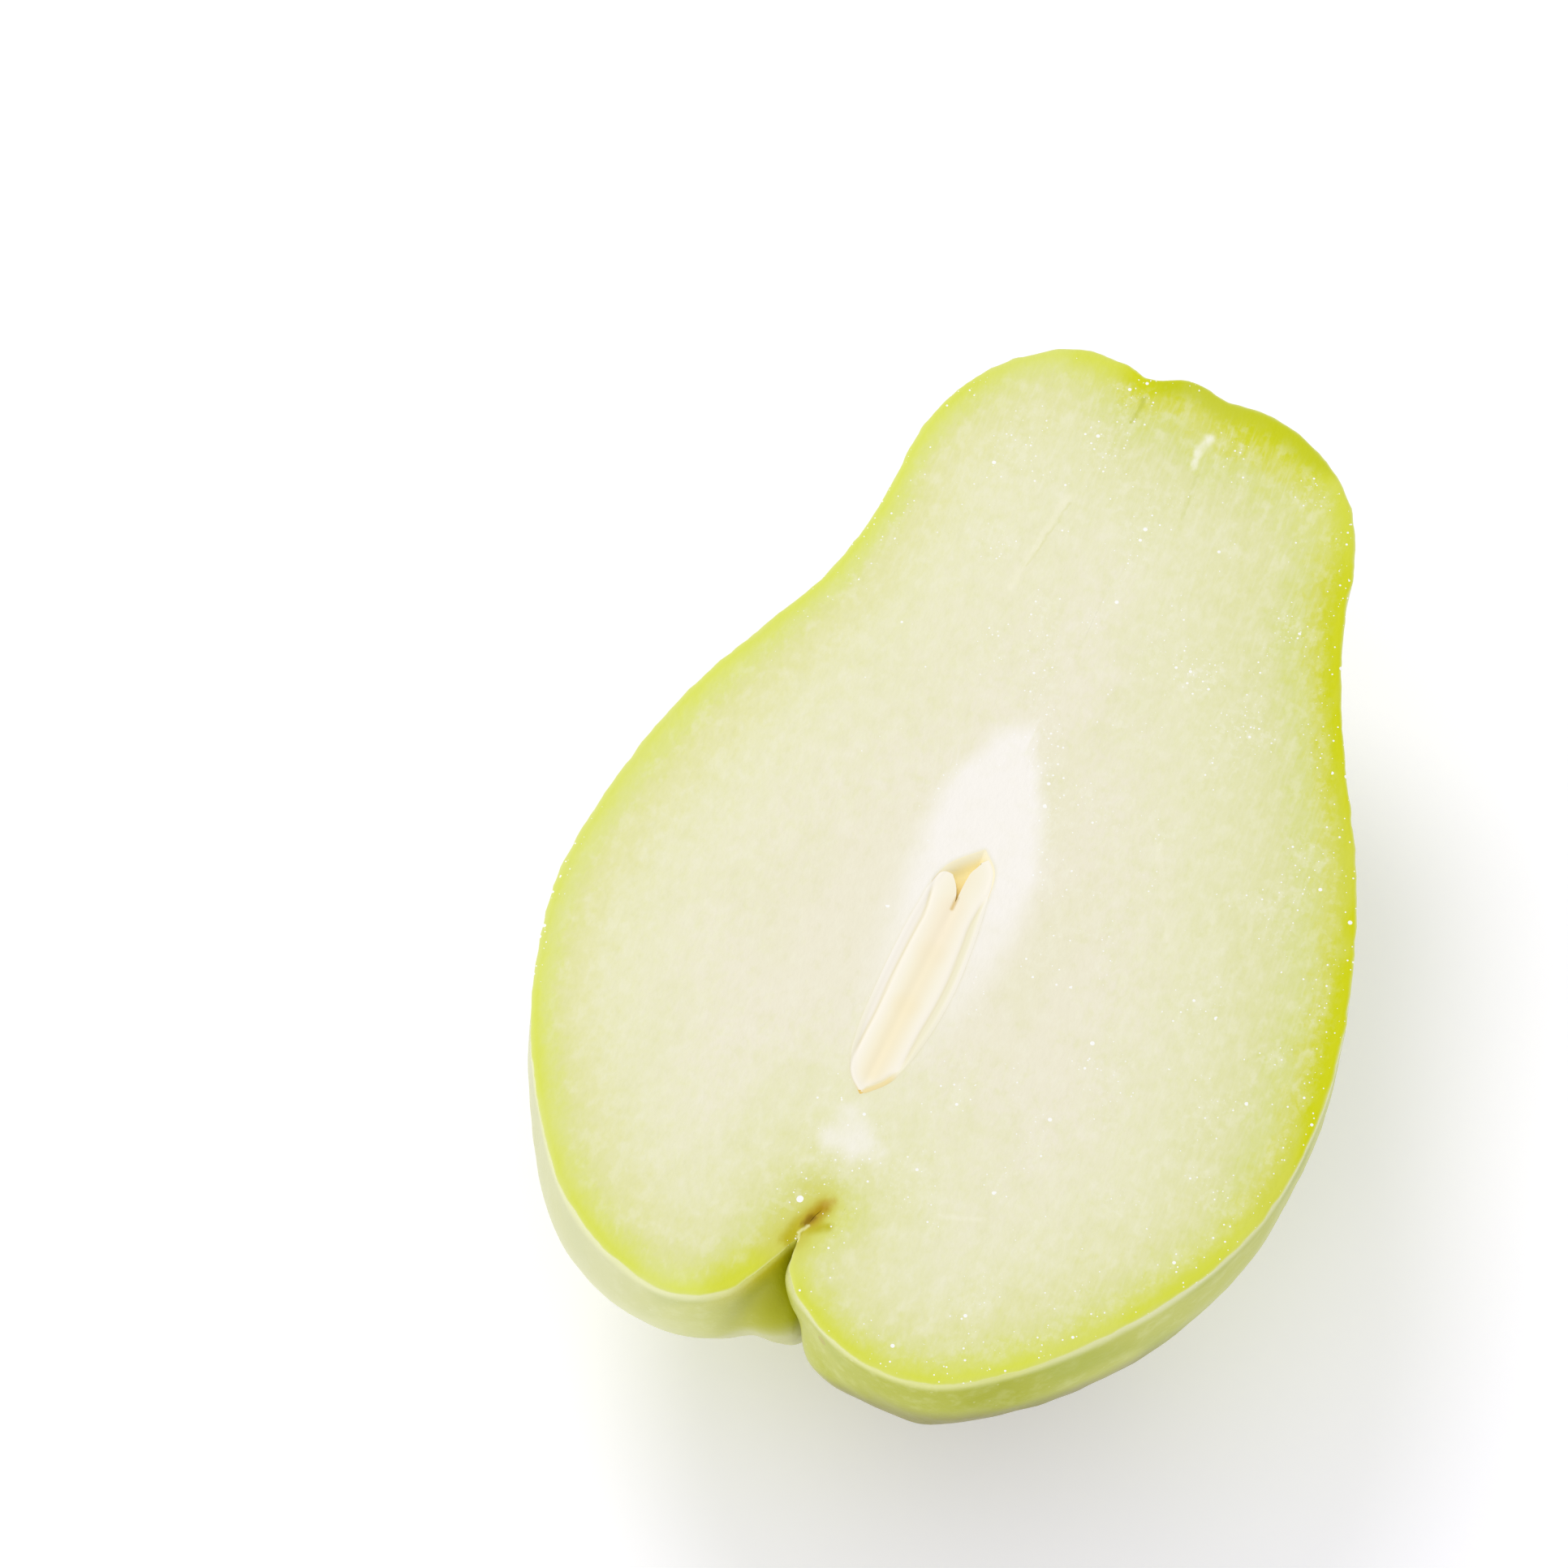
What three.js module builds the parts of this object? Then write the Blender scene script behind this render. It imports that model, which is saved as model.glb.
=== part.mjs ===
// Half of a chayote, cut lengthwise through its stem scar and its mouth, with half of its one flat seed.
// It lies on its back with the cut face up, as it would on a board.
// Millimetres. +Z is up and +Y runs along the fruit, from its mouth to its stem end.
// The origin is the middle of the small flat spot that it rests on, under its centre of mass.

import * as THREE from "three";
import { mergeVertices } from "three/addons/utils/BufferGeometryUtils.js";

// Driving dimensions of the fruit
const CUT_HEIGHT = 42; // the cut face stands this far above the surface that the fruit rests on
const BULB_DEPTH = 43; // cut face to back at the bulb, 1 mm of it pressed flat where the fruit rests
const NECK_DEPTH = 27; // cut face to back at the neck
const MIDDLE_LINE = { from: [2.4, -9], to: [3.2, 49] }; // the mouth end and the stem end are round about its ends
const NECK_Y = [5, 50]; // the back rises from the bulb to the neck between these stations
const MOUTH_END_RISE = 4; // and it rises this much less towards the mouth end
const MOUTH_END_Y = [6, -40];
const FULLNESS = 0.92; // 1 gives elliptical sides, less makes them fuller
const BALANCE = new THREE.Vector2(2.7, 2.8); // the point of the outline under the centre of mass

// The cut outline, from the inner end of the mouth's slit round each side to the stem scar.
// Both sides have the same number of points, and two of the same place in the list face each other.
const RIGHT_SIDE = [
  [-0.7, -39.6], // inner end of the slit
  [-1.2, -42.0],
  [-1.9, -44.5],
  [-2.0, -47.2], // lip of the right lobe
  [0.3, -50.8],
  [7.5, -55.2],
  [16.5, -56.0], // lowest point of the right lobe
  [24.8, -51.6],
  [32.8, -44.4],
  [40.2, -35.0],
  [45.3, -24.3],
  [47.2, -10.6], // widest point of the bulb
  [46.6, 0.0],
  [44.9, 9.5],
  [41.9, 20.2],
  [38.3, 29.2],
  [34.6, 38.8],
  [31.4, 50.0], // waist
  [30.2, 58.5],
  [27.3, 66.6],
  [20.5, 73.0], // shoulder of the stem end
  [14.0, 75.4],
  [9.4, 75.4],
  [5.5, 76.8], // rim of the stem scar
  [-0.3, 75.3], // notch beside the stem scar
];
const LEFT_SIDE = [
  [-0.7, -39.6],
  [-1.9, -42.0],
  [-2.6, -44.5],
  [-3.9, -47.2], // lip of the left lobe
  [-7.3, -52.5],
  [-12.9, -54.8], // lowest point of the left lobe
  [-21.2, -52.4],
  [-28.5, -46.9],
  [-34.3, -38.3],
  [-38.4, -30.0],
  [-41.3, -20.0],
  [-42.6, -10.0], // widest point of the bulb
  [-41.4, 0.0],
  [-39.3, 10.0],
  [-35.8, 20.0],
  [-31.3, 29.0],
  [-26.8, 38.0],
  [-24.2, 49.0], // waist
  [-23.4, 58.5],
  [-20.9, 66.6],
  [-15.5, 73.3], // shoulder of the stem end
  [-9.2, 76.7],
  [-4.8, 76.7],
  [-2.2, 76.2],
  [-0.3, 75.3],
];

// A little way down the back a pad of skin fills the slit. These points take the place of the first ones there.
const PAD_RIGHT = [
  [0.6, -48.3], // bottom of the crease between the pad and the right lobe
  [0.7, -50.4],
  [1.8, -52.6],
  [4.4, -54.3],
  [7.2, -55.1],
  [10.8, -55.7],
];
const PAD_LEFT = [
  [0.6, -48.3],
  [-0.7, -50.7],
  [-2.9, -51.4],
  [-5.7, -51.4], // shallow crease between the pad and the left lobe
  [-8.8, -53.1],
  [-14.2, -54.1],
];
const PAD_FILLS = [2, 13]; // degrees down the back
const CREASES_FADE = [20, 58]; // degrees down the back, and from there on the mouth end is smooth

// Both lobes and the right side swell out below the cut edge
const SWELLS = [
  { x: -25, y: -48, radius: 24, rise: 2.6 },
  { x: 30, y: -46, radius: 22, rise: 1.9 },
  { x: 46, y: -6, radius: 26, rise: 0.5 },
];
const SWELL_STARTS = [0, 12]; // degrees down the back
const SWELL_ENDS = [32, 62];

// Shallow furrows along the back, by their angle round the fruit from the right edge of the cut face
const FURROWS = [
  { angle: 36, depth: 1.5, width: 10 },
  { angle: 66, depth: 1.3, width: 9 },
  { angle: 118, depth: 1.9, width: 11 },
  { angle: 147, depth: 1.3, width: 9 },
];
const STEM_PUCKER = { x: 2.0, y: 79.0, reach: 15, depth: 2.6 };

// Small pits in the skin of the back: place across and along the fruit, radius and depth
const PITS = [
  { x: -27, y: 6, radius: 3.2, depth: 1.2 },
  { x: 30, y: -30, radius: 3.6, depth: 1.3 },
  { x: 12, y: 34, radius: 2.8, depth: 0.9 },
  { x: -16, y: -38, radius: 3.0, depth: 1.0 },
];

// The seed: two seed leaves joined at the mouth end and parted at the stem end
const SEED_DEPTH = 11.6; // below the cut face
const SEED_SINK = 0.55; // the cut edge of the seed lies this far below the cut face
const SEED_CROWN = 0.45; // and its middle stands this much higher than its edge
const SEED_SPINE = { from: [-1.0, -17], to: [0.9, -3.4] };
const SEED_RIGHT = [
  [-1.5, -24.8], // root tip
  [0.9, -22.2],
  [2.7, -17.0],
  [3.8, -10.5],
  [4.0, -4.0],
  [3.7, 1.6],
  [3.2, 5.6],
  [2.3, 7.5], // tip of the right seed leaf
  [1.3, 6.2],
  [0.95, 3.8],
  [0.75, 1.2], // where the seed leaves part
];
const SEED_LEFT = [
  [-1.5, -24.8],
  [-3.2, -22.4],
  [-3.9, -17.6],
  [-3.8, -12.4],
  [-3.4, -6.4],
  [-2.7, -1.2],
  [-1.9, 2.8],
  [-0.9, 4.8], // tip of the left seed leaf
  [-0.1, 4.2],
  [0.45, 2.7],
  [0.75, 1.2],
];

// The hollow that the seed lies in, a little larger than the seed and rounded over its parted end
const HOLLOW_DEPTH = 12.0;
const HOLLOW_SPINE = { from: [-1.0, -17], to: [0.9, -1.0] };
const HOLLOW_RIGHT = [
  [-1.5, -25.2],
  [1.2, -22.5],
  [3.05, -17.1],
  [4.15, -10.5],
  [4.35, -4.0],
  [4.1, 1.9],
  [3.8, 6.2],
  [1.8, 8.8],
];
const HOLLOW_LEFT = [
  [-1.5, -25.2],
  [-3.5, -22.7],
  [-4.25, -17.7],
  [-4.15, -12.3],
  [-3.75, -6.3],
  [-3.1, -0.7],
  [-1.8, 5.2],
  [1.8, 8.8],
];

// Mesh steps
const COLUMNS_PER_POINT = 3; // columns of faces between two points of an outline
const BACK_RINGS = 17; // rings of faces from the cut edge down to the middle of the back
const RING_CROWDING = 1.3; // above 1 they lie closer together towards the cut edge
const FACE_STEPS = [0.035, 0.11, 0.22, 0.36, 0.52, 0.69, 0.85, 1]; // from the cut edge in to the hollow
const FACE_BEND = 20;
const HOLLOW_RINGS = 6;
const SEED_RINGS = 6;
const CROWN_RINGS = 3;

const QUARTER_TURN = Math.PI / 2;

function ramp(value, low, high) {
  return THREE.MathUtils.smoothstep(value, low, high);
}

function bell(distance, width) {
  return Math.exp(-((distance / width) ** 2));
}

// A closed outline as one loop of points: up the right side, then back down the left side.
function outlineLoop(right, left, steps) {
  const side = (points) => new THREE.CatmullRomCurve3(
    points.map(([x, y]) => new THREE.Vector3(x, y, 0)),
    false,
    "centripetal",
  );
  const rightPoints = side(right).getPoints(steps);
  const leftPoints = side(left).getPoints(steps);
  return [...rightPoints, ...leftPoints.slice(1, -1).reverse()];
}

// The point of the middle line that a point of the loop looks at. Facing points share it.
function spinePoints(loop, from, to) {
  const count = loop.length;
  return loop.map((point, i) => {
    const facing = loop[(count - i) % count];
    const along = ((point.y + facing.y) / 2 - from[1]) / (to[1] - from[1]);
    const share = THREE.MathUtils.clamp(along, 0, 1);
    return new THREE.Vector3(
      THREE.MathUtils.lerp(from[0], to[0], share),
      THREE.MathUtils.lerp(from[1], to[1], share),
      0,
    );
  });
}

// One closed surface through rings of equally many points. The first and the last ring lie doubled on a line.
function surfaceThroughRings(rings) {
  const count = rings[0].length;
  const positions = rings.flat().flatMap((p) => [p.x, p.y, p.z]);
  const faces = [];
  for (let ring = 0; ring < rings.length - 1; ring++) {
    for (let i = 0; i < count; i++) {
      const next = (i + 1) % count;
      const [a, b] = [ring * count + i, ring * count + next];
      const [c, d] = [a + count, b + count];
      faces.push([a, b, d], [a, d, c]);
    }
  }
  const loose = new THREE.BufferGeometry();
  loose.setAttribute("position", new THREE.Float32BufferAttribute(positions, 3));
  loose.setIndex(faces.flat());
  const merged = mergeVertices(loose, 1e-3);
  const corners = merged.index.array;
  const kept = [];
  for (let i = 0; i < corners.length; i += 3) {
    const [a, b, c] = [corners[i], corners[i + 1], corners[i + 2]];
    if (a !== b && b !== c && c !== a) kept.push(a, b, c);
  }
  merged.setIndex(kept);
  merged.computeVertexNormals();
  return merged;
}

// How deep the back lies below the cut face at a station along the fruit
function backDepth(y) {
  const towardsMouth = ramp(-y, -MOUTH_END_Y[0], -MOUTH_END_Y[1]);
  return THREE.MathUtils.lerp(BULB_DEPTH, NECK_DEPTH, ramp(y, ...NECK_Y)) - MOUTH_END_RISE * towardsMouth;
}

// The outline with its first points moved out to an even line from lobe to lobe
function withoutMouth(loop) {
  const reach = PAD_RIGHT.length * COLUMNS_PER_POINT;
  const right = loop[reach];
  const left = loop[loop.length - reach];
  return loop.map((point, i) => {
    const fromSlit = i <= reach ? i : i - loop.length;
    if (Math.abs(fromSlit) >= reach) return point;
    return left.clone().lerp(right, (fromSlit + reach) / (2 * reach));
  });
}

// Relief of the skin, outward from the smooth back. down is the angle below the cut edge in degrees.
function skinRelief(point, middle, down) {
  const depth = CUT_HEIGHT - point.z;
  const round = THREE.MathUtils.radToDeg(Math.atan2(depth, point.x - middle.x));
  const below = ramp(down, 2, 24);
  const strength = 0.4 + 0.6 * ramp(point.y, 5, 50) - 0.25 * ramp(-point.y, 10, 40);
  let relief = 0;
  for (const { angle, depth: cut, width } of FURROWS) {
    const drift = 5 * Math.sin(point.y / 26 + angle);
    relief -= cut * strength * bell(round - angle - drift, width);
  }
  relief += 0.5 * Math.sin(point.x / 9 + 1.3) * Math.sin(point.y / 11 + 0.4);
  for (const pit of PITS) {
    relief -= pit.depth * bell(Math.hypot(point.x - pit.x, point.y - pit.y), pit.radius);
  }
  relief *= below;
  const fromStem = Math.hypot(point.x - STEM_PUCKER.x, point.y - STEM_PUCKER.y);
  const rays = 0.8 + 0.2 * Math.cos(6 * Math.atan2(depth, point.x - STEM_PUCKER.x));
  relief -= STEM_PUCKER.depth * rays * bell(fromStem, STEM_PUCKER.reach) * ramp(down, 4, 16);
  const swollen = ramp(down, ...SWELL_STARTS) * (1 - ramp(down, ...SWELL_ENDS));
  for (const swell of SWELLS) {
    relief += swell.rise * swollen * bell(Math.hypot(point.x - swell.x, point.y - swell.y), swell.radius);
  }
  return relief;
}

// Rings of the back, from its middle line up to the cut edge
function backRings(loop, padLoop, spine) {
  const rings = [];
  const smoothLoop = withoutMouth(padLoop);
  for (let ring = BACK_RINGS; ring >= 0; ring--) {
    const turn = QUARTER_TURN * (ring / BACK_RINGS) ** RING_CROWDING;
    const down = THREE.MathUtils.radToDeg(turn);
    const outward = Math.max(Math.cos(turn), 0) ** FULLNESS;
    const share = ring === BACK_RINGS ? 0 : outward;
    rings.push(loop.map((edge, i) => {
      const middle = spine[i];
      const outer = edge.clone().lerp(padLoop[i], ramp(down, ...PAD_FILLS));
      outer.lerp(smoothLoop[i], ramp(down, ...CREASES_FADE));
      const point = middle.clone().lerp(outer, share);
      point.z = CUT_HEIGHT - backDepth(Math.min(point.y, middle.y)) * Math.sin(turn);
      const away = point.clone().sub(new THREE.Vector3(middle.x, middle.y, CUT_HEIGHT)).normalize();
      point.addScaledVector(away, skinRelief(point, middle, down));
      point.z = ring === 0 ? CUT_HEIGHT : Math.max(point.z, 0);
      return point;
    }));
  }
  return rings;
}

// Rings of the flat cut face: each column leaves the cut edge square to it and bends in to the hollow's edge.
// FACE_BEND is the longest lever of that bend.
function faceRings(loop, hollow) {
  const count = loop.length;
  return FACE_STEPS.map((step) => loop.map((edge, i) => {
    const inner = hollow[i];
    const along = loop[(i + 1) % count].clone().sub(loop[(i + count - 1) % count]);
    const lever = Math.min(edge.distanceTo(inner), FACE_BEND);
    const inward = new THREE.Vector3(-along.y, along.x, 0).setLength(lever);
    const leave = step ** 3 - 2 * step ** 2 + step;
    const point = edge.clone().lerp(inner, 3 * step ** 2 - 2 * step ** 3);
    point.addScaledVector(inward, leave);
    point.z = CUT_HEIGHT;
    return point;
  }));
}

// Rings of a half almond under an outline at height top, from its edge down to its middle line.
function almondRings(loop, spine, top, depth, ringCount) {
  const rings = [];
  for (let ring = 1; ring <= ringCount; ring++) {
    const turn = QUARTER_TURN * (ring / ringCount);
    const share = ring === ringCount ? 0 : Math.cos(turn);
    rings.push(loop.map((edge, i) => {
      const point = spine[i].clone().lerp(edge, share);
      point.z = top - depth * Math.sin(turn);
      return point;
    }));
  }
  return rings;
}

// Skin and flesh grew as one piece: the back, the flat cut face and the hollow for the seed are one surface.
function fruitHalf() {
  const steps = (RIGHT_SIDE.length - 1) * COLUMNS_PER_POINT;
  const loop = outlineLoop(RIGHT_SIDE, LEFT_SIDE, steps);
  const padLoop = outlineLoop(
    [...PAD_RIGHT, ...RIGHT_SIDE.slice(PAD_RIGHT.length)],
    [...PAD_LEFT, ...LEFT_SIDE.slice(PAD_LEFT.length)],
    steps,
  );
  const spine = spinePoints(loop, MIDDLE_LINE.from, MIDDLE_LINE.to);
  const hollow = outlineLoop(HOLLOW_RIGHT, HOLLOW_LEFT, steps);
  const hollowSpine = spinePoints(hollow, HOLLOW_SPINE.from, HOLLOW_SPINE.to);
  const flesh = new THREE.MeshStandardMaterial({ color: 0xdde39a, roughness: 0.45, metalness: 0 });
  const rings = [
    ...backRings(loop, padLoop, spine),
    ...faceRings(loop, hollow),
    ...almondRings(hollow, hollowSpine, CUT_HEIGHT, HOLLOW_DEPTH, HOLLOW_RINGS),
  ];
  const mesh = new THREE.Mesh(surfaceThroughRings(rings), flesh);
  mesh.name = "fruit_half";
  return mesh;
}

// Half of the seed: a flat almond on edge, cut across, with a low crown on its cut side.
function seedHalf() {
  const steps = (SEED_RIGHT.length - 1) * COLUMNS_PER_POINT;
  const loop = outlineLoop(SEED_RIGHT, SEED_LEFT, steps);
  const spine = spinePoints(loop, SEED_SPINE.from, SEED_SPINE.to);
  const top = CUT_HEIGHT - SEED_SINK;
  const edge = loop.map((point) => new THREE.Vector3(point.x, point.y, top));
  const under = almondRings(loop, spine, top, SEED_DEPTH - SEED_SINK, SEED_RINGS);
  const crown = almondRings(loop, spine, top, -SEED_CROWN, CROWN_RINGS);
  const cream = new THREE.MeshStandardMaterial({ color: 0xf6ecd0, roughness: 0.4, metalness: 0 });
  const mesh = new THREE.Mesh(surfaceThroughRings([...under.reverse(), edge, ...crown]), cream);
  mesh.name = "seed_half";
  return mesh;
}

const chayoteHalf = new THREE.Group();
chayoteHalf.add(fruitHalf(), seedHalf());
for (const mesh of chayoteHalf.children) mesh.position.set(-BALANCE.x, -BALANCE.y, 0);

export default chayoteHalf;
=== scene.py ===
# Half of a chayote, cut lengthwise and lying on its back, with half of its seed in the cut face.
# Metres in the part's own frame: +Y runs from the mouth to the stem end, +Z is up and the cut face is level.
import math
import bpy
import numpy as np
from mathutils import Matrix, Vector, noise


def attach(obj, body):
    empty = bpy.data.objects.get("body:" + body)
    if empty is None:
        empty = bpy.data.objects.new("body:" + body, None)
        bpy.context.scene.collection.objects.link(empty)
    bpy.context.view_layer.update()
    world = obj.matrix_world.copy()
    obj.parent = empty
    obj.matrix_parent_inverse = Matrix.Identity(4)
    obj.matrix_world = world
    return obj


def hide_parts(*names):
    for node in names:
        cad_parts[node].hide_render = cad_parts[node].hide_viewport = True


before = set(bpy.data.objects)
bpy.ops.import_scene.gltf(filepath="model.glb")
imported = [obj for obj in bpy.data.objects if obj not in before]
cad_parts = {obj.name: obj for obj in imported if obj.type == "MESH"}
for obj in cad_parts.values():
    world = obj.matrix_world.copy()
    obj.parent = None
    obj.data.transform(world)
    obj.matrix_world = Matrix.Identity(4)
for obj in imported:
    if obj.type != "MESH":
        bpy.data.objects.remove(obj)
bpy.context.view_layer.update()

# Skin and flesh. They grew as one piece, firm and moist inside, with a thin satin skin that isn't peeled.
# A knife left the cut face flat. The piece stands for CAD node fruit_half.
MM = 0.001
CUT_FACE = 42.0 * MM
# How close in mm two heights are that count as the same
SAME_HEIGHT = 0.01
# How many points are measured at a time, which keeps the arrays small
BATCH = 2048


def linear(code):
    """An sRGB colour such as #C8D070 as linear red, green and blue, with alpha."""
    values = [int(code[i:i + 2], 16) / 255 for i in (1, 3, 5)]
    return [v / 12.92 if v <= 0.04045 else ((v + 0.055) / 1.055) ** 2.4 for v in values] + [1.0]


def add(tree, kind, inputs=None, **settings):
    """Adds a node. inputs gives each socket, by its name or number, a value or the socket that drives it."""
    made = tree.nodes.new(kind)
    for name, value in settings.items():
        setattr(made, name, value)
    for socket, value in (inputs or {}).items():
        if isinstance(value, bpy.types.NodeSocket):
            tree.links.new(value, made.inputs[socket])
        else:
            made.inputs[socket].default_value = value
    return made


def maths(tree, operation, a, b=0.0, c=0.0):
    return add(tree, "ShaderNodeMath", {0: a, 1: b, 2: c}, operation=operation).outputs[0]


def soft_step(tree, value, low, high):
    """0 below low, 1 above high, and a smooth rise between. low may be the larger, for a fall."""
    settings = {"Value": value, "From Min": low, "From Max": high}
    return add(tree, "ShaderNodeMapRange", settings, interpolation_type="SMOOTHSTEP").outputs["Result"]


def mix(tree, factor, a, b):
    """Colour b over colour a. Either may be an sRGB code or a socket."""
    a, b = [linear(c) if isinstance(c, str) else c for c in (a, b)]
    return add(tree, "ShaderNodeMix", {0: factor, 6: a, 7: b}, data_type="RGBA").outputs[2]


def grain(tree, place, size, stretch=(1, 1, 1), detail=2.0, flat=False):
    """Noise from 0 to 1 with features about size mm across, stretched along an axis by its factor."""
    squeeze = [1 / (size * s) for s in stretch]
    squeezed = add(tree, "ShaderNodeVectorMath", {0: place, 1: squeeze}, operation="MULTIPLY")
    settings = {"Vector": squeezed.outputs[0], "Scale": 1.0, "Detail": detail, "Roughness": 0.6}
    return add(tree, "ShaderNodeTexNoise", settings, noise_dimensions="2D" if flat else "3D").outputs["Fac"]


def ramp(tree, value, stops):
    """A colour for each distance in mm. stops is a list of (mm, sRGB code)."""
    longest = stops[-1][0]
    share = maths(tree, "DIVIDE", value, longest)
    made = add(tree, "ShaderNodeValToRGB", {"Fac": share})
    elements = made.color_ramp.elements
    while len(elements) < len(stops):
        elements.new(0.5)
    for element, (at, code) in zip(elements, stops):
        element.position = at / longest
        element.color = linear(code)
    return made.outputs["Color"]


def specks(tree, place, spacing, radius, share, rare=1.0, flat=False):
    """Round dots of up to the given radius in mm, in a share of the cells of a random grid.

    Above 1, rare makes the larger dots fewer.
    """
    settings = {"Vector": place, "Scale": 1 / spacing, "Randomness": 1.0}
    dimensions = "2D" if flat else "3D"
    cells = add(tree, "ShaderNodeTexVoronoi", settings, feature="F1", voronoi_dimensions=dimensions)
    lot = add(tree, "ShaderNodeSeparateColor", {0: cells.outputs["Color"]})
    chosen = maths(tree, "LESS_THAN", lot.outputs[0], share)
    size = maths(tree, "POWER", lot.outputs[1], rare)
    size = maths(tree, "MULTIPLY_ADD", size, 0.7 * radius / spacing, 0.3 * radius / spacing)
    dot = maths(tree, "LESS_THAN", cells.outputs["Distance"], size)
    return maths(tree, "MULTIPLY", chosen, dot)


def streak(tree, level_place, start, end, width):
    """1 on a line across the level cut face from start to end in mm, falling to 0 at width from it."""
    begin = Vector((*start, 0))
    along = Vector((*end, 0)) - begin
    offset = add(tree, "ShaderNodeVectorMath", {0: level_place, 1: begin}, operation="SUBTRACT").outputs[0]
    unit = along / along.length_squared
    reached = add(tree, "ShaderNodeVectorMath", {0: offset, 1: unit}, operation="DOT_PRODUCT").outputs["Value"]
    share = add(tree, "ShaderNodeClamp", {"Value": reached}).outputs[0]
    nearest = add(tree, "ShaderNodeVectorMath", {0: along, "Scale": share}, operation="SCALE").outputs[0]
    away = add(tree, "ShaderNodeVectorMath", {0: offset, 1: nearest}, operation="DISTANCE").outputs["Value"]
    return soft_step(tree, away, width, 0.0)


def stored(tree, name):
    """A value that was worked out for each point of the mesh."""
    return add(tree, "ShaderNodeAttribute", attribute_name=name).outputs["Fac"]


def new_material(name):
    """A material with its node tree, its shader and the place on the piece in mm."""
    made = bpy.data.materials.new(name)
    made.use_nodes = True
    tree = made.node_tree
    coordinates = add(tree, "ShaderNodeTexCoord").outputs["Object"]
    place = add(tree, "ShaderNodeVectorMath", {0: coordinates, "Scale": 1 / MM}, operation="SCALE").outputs[0]
    return made, tree, tree.nodes["Principled BSDF"], place


def select_only(piece):
    bpy.ops.object.select_all(action="DESELECT")
    piece.select_set(True)
    bpy.context.view_layer.objects.active = piece


def merged_copy(node, name):
    """A copy of a CAD node, its loose triangles merged and paired into quads where they lie flat enough."""
    piece = bpy.data.objects.new(name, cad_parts[node].data.copy())
    bpy.context.scene.collection.objects.link(piece)
    select_only(piece)
    bpy.ops.object.mode_set(mode="EDIT")
    bpy.ops.mesh.select_all(action="SELECT")
    bpy.ops.mesh.remove_doubles(threshold=0.002 * MM)
    bpy.ops.mesh.tris_convert_to_quads(face_threshold=math.radians(60), shape_threshold=math.radians(60))
    bpy.ops.object.mode_set(mode="OBJECT")
    bpy.ops.mesh.customdata_custom_splitnormals_clear()
    return piece


def border(mesh, one, other):
    """The two ends of each edge between a face of one material and a face of the other."""
    sides = {}
    for face in mesh.polygons:
        for key in face.edge_keys:
            sides.setdefault(key, set()).add(face.material_index)
    return np.array([key for key, found in sides.items() if found == {one, other}])


def crease_between_materials(piece):
    """Keeps each edge sharp that parts faces of two different materials."""
    mesh = piece.data
    sharp = set()
    for one, other in ((FLESH, SKIN), (FLESH, HOLLOW)):
        sharp.update(tuple(sorted(key)) for key in border(mesh, one, other).tolist())
    crease = mesh.attributes.new("crease_edge", "FLOAT", "EDGE")
    crease.data.foreach_set("value", [float(tuple(sorted(painted_edge_shade.vertices)) in sharp) for painted_edge_shade in mesh.edges])


def subdivide(piece, levels):
    select_only(piece)
    smooth = piece.modifiers.new("smooth", "SUBSURF")
    smooth.levels = smooth.render_levels = levels
    bpy.ops.object.modifier_apply(modifier=smooth.name)


def points_of(mesh):
    places = np.empty(len(mesh.vertices) * 3)
    mesh.vertices.foreach_get("co", places)
    return places.reshape(-1, 3)


def normals_of(mesh):
    directions = np.empty(len(mesh.vertices) * 3)
    mesh.vertices.foreach_get("normal", directions)
    return directions.reshape(-1, 3)


def to_lines(points, starts, ends):
    """The way from each point to the nearest place on many short straight lines."""
    ways = np.empty_like(points)
    along = ends - starts
    squared = np.maximum((along ** 2).sum(1), 1e-18)
    for first in range(0, len(points), BATCH):
        offset = points[first:first + BATCH, None, :] - starts[None]
        share = np.clip((offset * along).sum(2) / squared, 0, 1)
        way = share[..., None] * along - offset
        nearest = (way ** 2).sum(2).argmin(1)
        ways[first:first + BATCH] = way[np.arange(len(way)), nearest]
    return ways


def distance_to_lines(points, starts, ends):
    return np.linalg.norm(to_lines(points, starts, ends), axis=1)


def rise(values, low, high):
    """0 below low, 1 above high, and a smooth rise between, for an array. low may be the larger, for a fall."""
    share = np.clip((values - low) / (high - low), 0, 1)
    return share * share * (3 - 2 * share)


def noise_at(places, size, stretch=(1, 1, 1)):
    """Noise of about -0.6 to 0.6 at each place in mm, with features about size mm across."""
    squeezed = places / (np.array(stretch) * size)
    return np.array([noise.noise(Vector(p)) for p in squeezed])


def store(mesh, name, values):
    mesh.attributes.new(name, "FLOAT", "POINT").data.foreach_set("value", values)


def away_from(places, start, end):
    """The level distance in mm from each place to the line from start to end."""
    level = places * (1, 1, 0)
    return distance_to_lines(level, np.array([[*start, 0.0]]), np.array([[*end, 0.0]]))


FLESH, SKIN, HOLLOW = 0, 1, 2
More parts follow.
